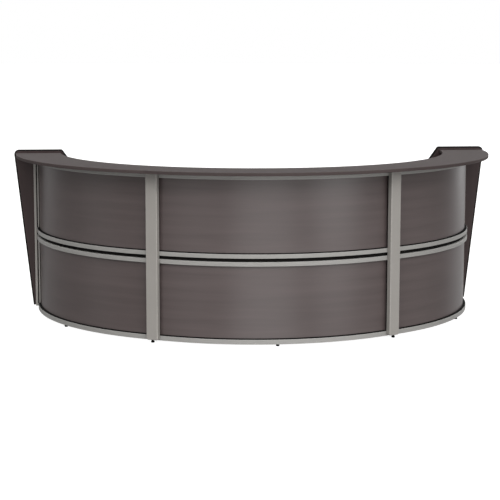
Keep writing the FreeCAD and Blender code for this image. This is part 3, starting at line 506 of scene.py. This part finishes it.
def rail_profile(bottom, top, opens_up):
    """Section of a rail: a channel for the skin, and two drawn lines along its front."""
    front = RAIL_FRONT
    back = front - RAIL_DEPTH
    skin_back = front - SKIN_SETBACK - SKIN_THICK
    closed, mouth = (bottom, top) if opens_up else (top, bottom)
    floor = mouth - CHANNEL if opens_up else mouth + CHANNEL
    lip = front - LIP
    points = [(back, closed), (front, closed)]
    radii = [FINE_EDGE, RAIL_EDGE]
    for share in BEAD_SHARES:
        middle = closed + (mouth - closed) * share
        half = math.copysign(BEAD_WIDTH / 2, mouth - closed)
        points += [(front, middle - half), (front - BEAD_DEPTH, middle), (front, middle + half)]
        radii += [0.0, 0.0, 0.0]
    points += [(front, mouth), (lip, mouth), (lip, floor), (skin_back, floor),
               (skin_back, mouth), (back, mouth)]
    radii += [RAIL_EDGE * LIP_EDGE_SHARE, FINE_EDGE, 0.0, 0.0, FINE_EDGE, FINE_EDGE]
    return rounded(points, radii)


def build_rails(bay):
    for kind, opens_up in (("bottom_rail_", True), ("lower_mid_rail_", False),
                           ("upper_mid_rail_", True), ("top_rail_", False)):
        node = kind + bay
        profile = rail_profile(low(node).z, high(node).z, opens_up)
        dress(sweep_about("silver_" + node, bay, profile), RAIL_LOOK, "silver_rail", node)


def build_skins(bay):
    front = RAIL_FRONT - SKIN_SETBACK
    back = front - SKIN_THICK
    for kind in ("lower_skin_", "upper_skin_"):
        node = kind + bay
        bottom, top = low(node).z, high(node).z
        corners = [(back, bottom), (front, bottom), (front, top), (back, top)]
        profile = rounded(corners, [SKIN_EDGE] * 4, steps=3)
        dress(sweep_about("bent_" + node, bay, profile), SKIN_LOOK, "dark_skin", node)


# ---------------------------------------------------------------- boards

def outer_curve(bay, outer, cuts, steps):
    """Plan points of a board's outer edge: a bay arc with a straight run at each end."""
    centre = bay_centre(bay)
    middle = math.radians(BAY_TURN[bay])
    points = []
    for step in range(steps + 1):
        points.append(centre + outer * outward(middle - HALF_BAY + 2 * HALF_BAY * step / steps))
    reach = outer + ARC_OFFSET * math.cos(HALF_BAY)
    ends = []
    for sign, cut in ((-1, cuts[0]), (1, cuts[1])):
        turn = middle + sign * HALF_BAY
        ends.append(RING + reach * outward(turn) - sign * cut * sideways(turn))
    return [ends[0]] + points + [ends[1]]


def inner_curve(bay, inner, cuts, steps):
    middle = math.radians(BAY_TURN[bay])
    first = middle - HALF_BAY + math.asin(cuts[0] / inner)
    last = middle + HALF_BAY - math.asin(cuts[1] / inner)
    return [RING + inner * outward(first + (last - first) * step / steps)
            for step in range(steps + 1)]


def resampled(points, count):
    """The same curve with evenly spaced points."""
    lengths = [0.0]
    for first, second in zip(points, points[1:]):
        lengths.append(lengths[-1] + (second - first).length)
    result = []
    index = 0
    for step in range(count + 1):
        target = lengths[-1] * step / count
        while index < len(points) - 2 and lengths[index + 1] < target:
            index += 1
        share = (target - lengths[index]) / (lengths[index + 1] - lengths[index])
        result.append(points[index].lerp(points[index + 1], min(1.0, share)))
    return result


BOARD_EDGE = 2.5 * MM
BOARD_STEPS = 96
# A board's curves are drawn this many times finer before they are spaced evenly.
FINER = 4
GROMMET_BORE = 37.8 * MM
CUTTER_DEPTH = 200 * MM


def build_board(node, bay, outer, inner):
    """A board between two curves, with all its long edges eased."""
    cuts = (GABLE_FACE if bay == "left" else 0.0, GABLE_FACE if bay == "right" else 0.0)
    near = resampled(inner_curve(bay, inner, cuts, FINER * BOARD_STEPS), BOARD_STEPS)
    far = resampled(outer_curve(bay, outer, cuts, FINER * BOARD_STEPS), BOARD_STEPS)
    bottom, top = low(node).z, high(node).z
    width = outer + ARC_OFFSET - inner
    corners = [(0.0, top), (width, top), (width, bottom), (0.0, bottom)]
    profile = rounded(corners, [BOARD_EDGE] * 4, steps=4)
    rings = []
    for a, b in zip(near, far):
        direction = (b - a).normalized()
        ring = []
        for across, z, edge in profile:
            if across < width / 2:
                point = a + direction * across
            else:
                point = b - direction * (width - across)
            ring.append((point.x, point.y, z, edge))
        rings.append(ring)
    return loft("board_" + node, rings)


def cut_hole(board, centre, radius):
    """Cut a round hole right through a board."""
    bpy.ops.mesh.primitive_cylinder_add(vertices=64, radius=radius, depth=CUTTER_DEPTH,
                                        location=centre)
    cutter = bpy.context.active_object
    modifier = board.modifiers.new("hole", "BOOLEAN")
    modifier.operation = "DIFFERENCE"
    modifier.object = cutter
    graph = bpy.context.evaluated_depsgraph_get()
    mesh = bpy.data.meshes.new_from_object(board.evaluated_get(graph))
    board.modifiers.clear()
    board.data = mesh
    bpy.data.objects.remove(cutter)


def build_boards(bay):
    counter = "counter_" + bay
    dress(build_board(counter, bay, COUNTER_OUTER, COUNTER_INNER), COUNTER_LOOK,
          "counter_laminate", counter)
    work = "work_surface_" + bay
    board = build_board(work, bay, WORK_OUTER, WORK_INNER)
    liner = "grommet_liner_" + bay
    centre = (low(liner) + high(liner)) / 2
    cut_hole(board, (centre.x, centre.y, high(work).z), GROMMET_BORE)
    dress(board, WORK_LOOK, "work_laminate", work)


# ---------------------------------------------------------------- posts

COVER_FOOT_CORNER = 12 * MM
COVER_EDGE = 5 * MM
EDGE_STEPS = 5


def build_cover(side):
    """The flat silver face of a post, its long edges rounded and its foot corners radiused."""
    node = "post_cover_" + side
    turn = math.radians(JOINT_TURN[side])
    bottom, top = low(node).z, high(node).z
    back = POST_FRONT - COVER_DEPTH
    # Each station: its distance from the ring's middle, how far in its outline lies, its share
    # of the edge lightening (wear and painted highlight).
    stations = [(back, 0.0, 0.0), (POST_FRONT - COVER_EDGE - CORNER_MARGIN, 0.0, 0.0)]
    for step in range(EDGE_STEPS + 1):
        angle = math.pi / 2 * step / EDGE_STEPS
        stations.append((POST_FRONT - COVER_EDGE + COVER_EDGE * math.sin(angle),
                         COVER_EDGE * (1 - math.cos(angle)), 1.0))
    stations.append((POST_FRONT, COVER_EDGE + CORNER_MARGIN, 0.0))
    rings = []
    for distance, inset, wear_and_highlight in stations:
        half = POST_WIDTH / 2 - inset
        corners = [(-half, bottom + inset), (half, bottom + inset), (half, top), (-half, top)]
        corner = COVER_FOOT_CORNER - inset
        outline = rounded(corners, [corner, corner, 0.0, 0.0], steps=8)
        base = RING + distance * outward(turn)
        rings.append([(*(base + x * sideways(turn)).xy, z, wear_and_highlight) for x, z, _ in outline])
    dress(loft("face_" + node, rings), POST_LOOK, "post_silver", node)


END_POST_DEPTH = 48 * MM
END_POST_COVER = 16.5 * MM
END_POST_GROOVE = 9 * MM
END_POST_GROOVE_DEPTH = 8 * MM
END_POST_EDGE = 1.5 * MM
END_POST_FINE = 0.7 * MM
# A face whose normal points this far along +Y faces the gable.
FACING_GABLE = 0.9


def build_end_post(side):
    """The narrow post beside a gable, with the shadow groove down its side."""
    node = "end_post_" + side
    sign = SIDE[side]
    front = abs(high(node).x) if sign > 0 else abs(low(node).x)
    near = GABLE_FACE
    far = near + END_POST_WIDTH
    back = front - END_POST_DEPTH
    groove_front = front - END_POST_COVER
    groove_back = groove_front - END_POST_GROOVE
    floor = far - END_POST_GROOVE_DEPTH
    corners = [(back, near), (front, near), (front, far), (groove_front, far),
               (groove_front, floor), (groove_back, floor), (groove_back, far), (back, far)]
    fine = END_POST_FINE
    edge = END_POST_EDGE
    section = rounded(corners, [fine, edge, edge, fine, 0.0, 0.0, fine, fine], steps=4)
    rings = []
    for z in (low(node).z, high(node).z):
        rings.append([(sign * r, RING.y - q, z, wear_and_highlight) for r, q, wear_and_highlight in section])
    post = dress(loft("face_" + node, rings), POST_LOOK, "post_silver", node)
    # The groove's faces are painted black as shade in the recess; the post's plain side towards
    # the gable stays silver.
    post.data.materials.append(SHADE_BLACK_LOOK)
    for face in post.data.polygons:
        depth = abs(face.center.x)
        if groove_back < depth < groove_front and face.normal.y < FACING_GABLE:
            face.material_index = 1


# ---------------------------------------------------------------- gables and supports

GABLE_FOOT_OUTER = 1668 * MM
GABLE_RAKE = 0.108
GABLE_SLOPE_TOP = 1436 * MM
GABLE_SLOPE = 0.714
GABLE_DESK = 773 * MM
GABLE_INNER = 1000 * MM
TRIM_WIDTH = 10 * MM
TRIM_EDGE = 4 * MM
TRIM_SEAM = 0.3 * MM
PANEL_EASE = 0.5 * MM
PANEL_EASE_DEPTH = 0.4 * MM
# Share of the edge lightening, wear and painted highlight, on a gable panel's eased rim.
PANEL_EASE_WEAR_AND_HIGHLIGHT = 0.6
CONCAVE = 3
GABLE_RADII = (0.0, 35 * MM, 16 * MM, 80 * MM, 40 * MM, 16 * MM)


def gable_outline(side, inset):
    """Outline of an end gable in its own plane, moved in from its rim."""
    bottom = low("gable_trim_" + side).z + inset
    top = high("gable_trim_" + side).z - inset
    desk = GABLE_DESK - inset
    rake_shift = inset * math.hypot(1, GABLE_RAKE)
    slope_shift = inset * math.hypot(1, GABLE_SLOPE)

    def on_rake(z):
        return GABLE_FOOT_OUTER + GABLE_RAKE * (z + inset - bottom) - rake_shift

    def on_slope(z):
        return GABLE_SLOPE_TOP - GABLE_SLOPE * (top + inset - z) + slope_shift

    inner = GABLE_INNER + inset
    corners = [(on_rake(bottom), bottom), (on_rake(top), top), (on_slope(top), top),
               (on_slope(desk), desk), (inner, desk), (inner, bottom)]
    radii = []
    for index, radius in enumerate(GABLE_RADII):
        change = inset if index == CONCAVE else -inset
        radii.append(radius + change if radius > 0 else 0.0)
    return rounded(corners, radii, steps=10)


def gable_ring(side, inset, depth, wear_and_highlight):
    """One outline of a gable at a distance from the panel's middle plane."""
    y = RING.y - GABLE_FACE + GABLE_THICK / 2 + depth
    return [(SIDE[side] * x, y, z, wear_and_highlight) for x, z, _ in gable_outline(side, inset)]


def build_gable(side):
    """The laminated panel inside a gable's edging, its rim slightly eased."""
    half = GABLE_THICK / 2
    rim = TRIM_WIDTH + TRIM_SEAM
    rings = [gable_ring(side, rim + PANEL_EASE, -half, 0.0),
             gable_ring(side, rim, -half + PANEL_EASE_DEPTH, PANEL_EASE_WEAR_AND_HIGHLIGHT),
             gable_ring(side, rim, half - PANEL_EASE_DEPTH, PANEL_EASE_WEAR_AND_HIGHLIGHT),
             gable_ring(side, rim + PANEL_EASE, half, 0.0)]
    dress(loft("panel_end_gable_" + side, rings), PANEL_LOOK, "gable_laminate",
          "end_gable_" + side)


def build_gable_trim(side):
    """The soft black edging round a gable, rounded towards both faces."""
    half = GABLE_THICK / 2
    rings = [gable_ring(side, TRIM_WIDTH, -half, 0.0), gable_ring(side, TRIM_EDGE, -half, 0.0)]
    for face, steps in ((-1, range(EDGE_STEPS + 1)), (1, range(EDGE_STEPS, -1, -1))):
        for step in steps:
            angle = math.pi / 2 * step / EDGE_STEPS
            inset = TRIM_EDGE * (1 - math.sin(angle))
            depth = face * (half - TRIM_EDGE * (1 - math.cos(angle)))
            rings.append(gable_ring(side, inset, depth, 1.0))
    rings += [gable_ring(side, TRIM_EDGE, half, 0.0), gable_ring(side, TRIM_WIDTH, half, 0.0)]
    dress(loft("edging_gable_trim_" + side, rings, ends="loop"), TRIM_LOOK, "edge_trim",
          "gable_trim_" + side)


SUPPORT_INNER = 1060 * MM
SUPPORT_OUTER = 1594 * MM
SUPPORT_THICK = 28 * MM
SUPPORT_EDGE = 3 * MM
SUPPORT_FINE = 0.5 * MM


def build_support(side):
    node = "support_panel_" + side
    turn = math.radians(JOINT_TURN[side])
    half = SUPPORT_THICK / 2
    corners = [(SUPPORT_INNER, -half), (SUPPORT_OUTER, -half), (SUPPORT_OUTER, half),
               (SUPPORT_INNER, half)]
    radii = [SUPPORT_EDGE, SUPPORT_FINE, SUPPORT_FINE, SUPPORT_EDGE]
    section = rounded(corners, radii, steps=4)
    rings = []
    for z in (low(node).z, high(node).z):
        ring = []
        for distance, across, edge in section:
            point = RING + distance * outward(turn) + across * sideways(turn)
            ring.append((point.x, point.y, z, edge))
        rings.append(ring)
    dress(loft("board_" + node, rings), PANEL_LOOK, "support_laminate", node)


# ---------------------------------------------------------------- floor, light and camera

FLOOR_SIZE = 300.0
FLOOR_Z = -0.2 * MM
FLOOR_GLOW = 0.9
FLOOR_GREY = 0.3
BACKDROP_RADIUS = 70.0
BACKDROP_HEIGHT = 120.0
BACKDROP_GLOW = 1.0
BACKDROP_GREY = 0.0


def stage_piece(name, obj, glow, grey):
    """A plain white surface round the desk that only the camera sees."""
    obj.name = name
    material, _, shader = new_material("white_" + name)
    shader.inputs["Base Color"].default_value = (grey, grey, grey, 1)
    shader.inputs["Roughness"].default_value = 0.9
    shader.inputs["Specular IOR Level"].default_value = 0.0
    shader.inputs["Emission Color"].default_value = (1, 1, 1, 1)
    shader.inputs["Emission Strength"].default_value = glow
    obj.data.materials.append(material)
    obj.visible_diffuse = False
    obj.visible_glossy = False
    obj.visible_shadow = False


def build_stage():
    bpy.ops.mesh.primitive_plane_add(size=FLOOR_SIZE, location=(0, 0, FLOOR_Z))
    stage_piece("floor", bpy.context.active_object, FLOOR_GLOW, FLOOR_GREY)
    bpy.ops.mesh.primitive_cylinder_add(vertices=96, radius=BACKDROP_RADIUS,
                                        depth=BACKDROP_HEIGHT, location=(0, 0, 0))
    stage_piece("backdrop", bpy.context.active_object, BACKDROP_GLOW, BACKDROP_GREY)


# Soft lamps round the desk: turn in plan from the customer side, elevation, strength.
LAMPS = (
    (-88.0, 6.0, 0.15), (-40.0, 8.0, 0.34), (40.0, 8.0, 1.12), (-70.0, 38.0, 0.10),
    (-25.0, 38.0, 1.48), (20.0, 38.0, 1.60), (0.0, 68.0, 0.60), (-140.0, 12.0, 0.15),
    (140.0, 12.0, 0.36), (-148.0, 32.0, 0.55), (148.0, 32.0, 0.55), (180.0, 42.0, 0.90),
    (80.0, -14.0, 0.06), (0.0, -14.0, 0.68), (140.0, -14.0, 0.07),
)
LAMP_SOFTNESS = 36.0
LAMP_DISTANCE = 10.0
WORLD_LEVEL = 0.28

SENSOR = 36.0
LENS = 111.4
CAMERA_REACH = 500.0
CAMERA_PLACE = Vector((-1.2827, -11.7356, 2.1458))
CAMERA_TILT = 81.643
CAMERA_ROLL = -0.065
CAMERA_TURN = -6.178


def build_lamps():
    for turn, elevation, strength in LAMPS:
        data = bpy.data.lights.new("lamp", "SUN")
        data.angle = math.radians(LAMP_SOFTNESS)
        data.energy = strength
        direction = outward(math.radians(turn)) * math.cos(math.radians(elevation))
        direction.z = math.sin(math.radians(elevation))
        lamp = bpy.data.objects.new("lamp", data)
        lamp.location = direction * LAMP_DISTANCE
        lamp.rotation_euler = direction.to_track_quat("Z", "Y").to_euler()
        bpy.context.scene.collection.objects.link(lamp)


def build_world():
    world = bpy.data.worlds.new("studio")
    bpy.context.scene.world = world
    world.use_nodes = True
    background = world.node_tree.nodes["Background"]
    background.inputs["Color"].default_value = (1, 1, 1, 1)
    background.inputs["Strength"].default_value = WORLD_LEVEL


def build_camera():
    data = bpy.data.cameras.new("camera")
    data.sensor_width = SENSOR
    data.lens = LENS
    data.clip_end = CAMERA_REACH
    camera = bpy.data.objects.new("camera", data)
    camera.location = RING + CAMERA_PLACE
    angles = (CAMERA_TILT, CAMERA_ROLL, CAMERA_TURN)
    camera.rotation_euler = [math.radians(angle) for angle in angles]
    bpy.context.scene.collection.objects.link(camera)
    bpy.context.scene.camera = camera


dress_cad_nodes()
for bay in BAY_TURN:
    build_rails(bay)
    build_skins(bay)
    build_boards(bay)
for side in SIDE:
    build_cover(side)
    build_end_post(side)
    build_gable(side)
    build_gable_trim(side)
    build_support(side)

build_stage()
build_world()
build_lamps()
build_camera()
bpy.context.scene.view_settings.view_transform = "Standard"
